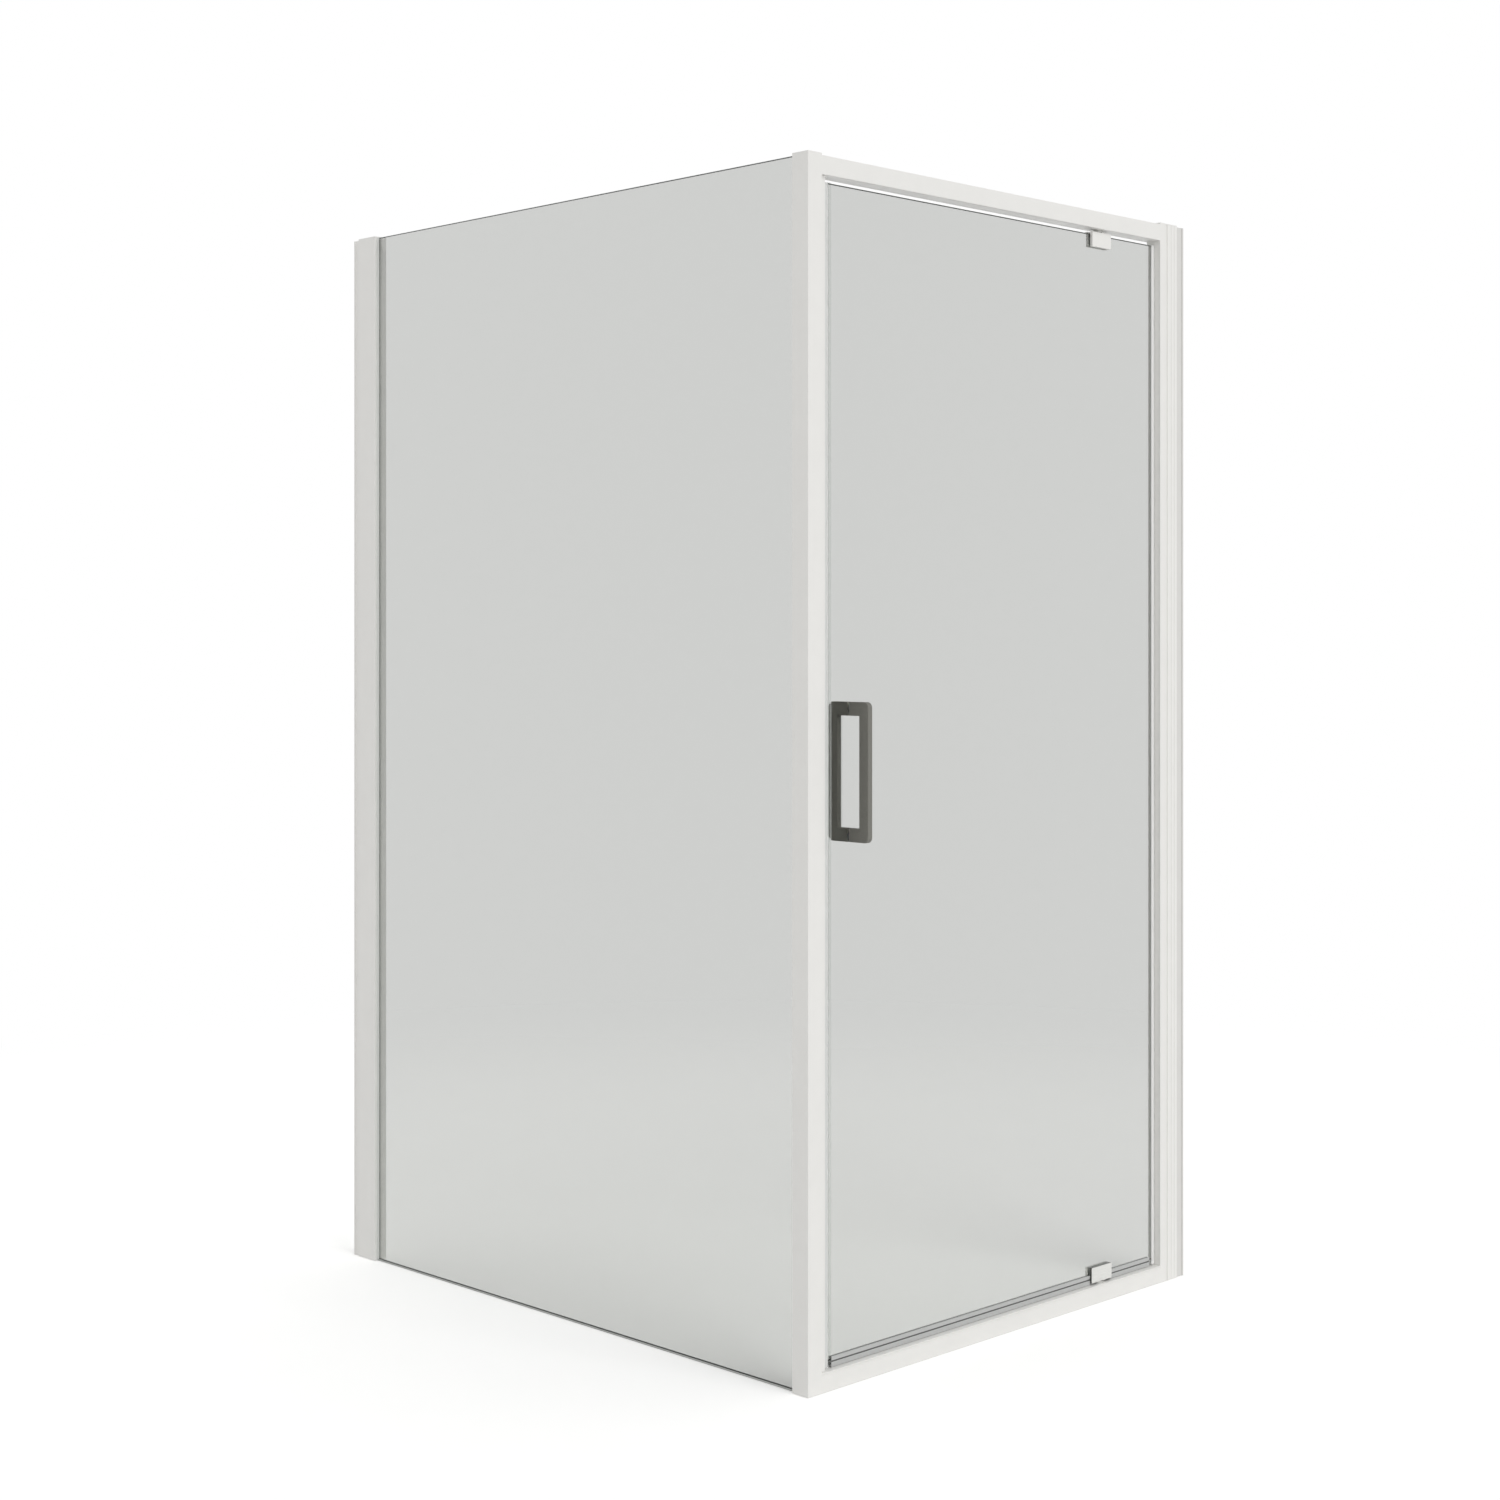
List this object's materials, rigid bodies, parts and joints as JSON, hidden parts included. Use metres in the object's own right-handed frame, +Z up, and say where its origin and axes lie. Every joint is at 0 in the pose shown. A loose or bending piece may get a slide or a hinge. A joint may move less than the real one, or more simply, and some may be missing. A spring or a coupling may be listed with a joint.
{
  "type": "corner shower screen",
  "caption": "Corner shower screen: a clear glass side panel, a white corner post and a framed glass pivot door with flat-bar D handles, closing off two open sides of a shower.",
  "frame": {"origin": "foot of the corner post's outer corner, where the door's and the side panel's outer faces meet", "axes": "+X runs along the door to its wall, +Y runs along the side panel to its wall, +Z is up; the door's outer face is y = 0 and the side panel's outer face is x = 0"},
  "size_m": [1, 1.2287, 1.932],
  "materials": {
    "white_frame": "extruded, white powder coat, satin",
    "clear_glass": "clear toughened glass with polished edges",
    "clamp_steel": "satin polished stainless steel",
    "white_clamp": "machined, white powder coat, satin",
    "handle_metal": "dark grey, fine satin texture",
    "screw_steel": "plain turned steel",
    "cover_plastic": "white, moulded, fine matte",
    "block_nylon": "moulded nylon",
    "bearing_nylon": "moulded nylon",
    "gasket_rubber": "soft extruded rubber",
    "clear_seal": "clear flexible vinyl",
    "white_seal": "white flexible vinyl",
    "smoky_seal": "grey flexible vinyl",
    "magnet_ferrite": "magnetic rubber strip"
  },
  "bodies": {
    "frame": {"corner_post": "white_frame", "post_cap": "cover_plastic", "post_glass_gaskets": "gasket_rubber", "side_glass": "clear_glass", "side_bottom_seal": "clear_seal", "side_jamb": "white_frame", "side_jamb_cap": "cover_plastic", "side_jamb_gaskets": "gasket_rubber", "side_wall_channel": "white_frame", "door_wall_channel": "white_frame", "hinge_jamb": "white_frame", "hinge_jamb_cap": "cover_plastic", "channel_screws": "screw_steel", "channel_screw_caps": "cover_plastic", "top_rail": "white_frame", "bottom_sill": "white_frame", "corner_blocks": "block_nylon", "corner_block_screws": "screw_steel", "top_pivot_block": "block_nylon", "bottom_pivot_block": "block_nylon", "pivot_block_screws": "screw_steel", "top_pivot_pin": "screw_steel", "bottom_pivot_pin": "screw_steel", "strike_profile": "white_frame", "strike_magnet": "magnet_ferrite"},
    "door": {"door_glass": "clear_glass", "magnet_seal": "clear_seal", "door_magnet": "magnet_ferrite", "hinge_edge_seal": "white_seal", "drip_seals": "smoky_seal", "glass_hole_sleeves": "bearing_nylon", "outer_handle": "handle_metal", "inner_handle": "handle_metal", "handle_studs": "screw_steel", "handle_grub_screws": "screw_steel", "handle_pads": "bearing_nylon", "bottom_clamp_outer": "clamp_steel", "bottom_clamp_inner": "clamp_steel", "bottom_clamp_gaskets": "gasket_rubber", "bottom_clamp_screws": "screw_steel", "bottom_pivot_bush": "bearing_nylon", "top_clamp_outer": "white_clamp", "top_clamp_inner": "white_clamp", "top_clamp_gaskets": "gasket_rubber", "top_clamp_screws": "screw_steel", "top_pivot_bush": "bearing_nylon"}
  },
  "joints": [
    {"name": "door_pivot", "type": "hinge", "parent": "frame", "child": "door", "pos_m": [0.76, 0.016, 0], "axis": [0, 0, 1], "range_deg": [0, 90]}
  ]
}
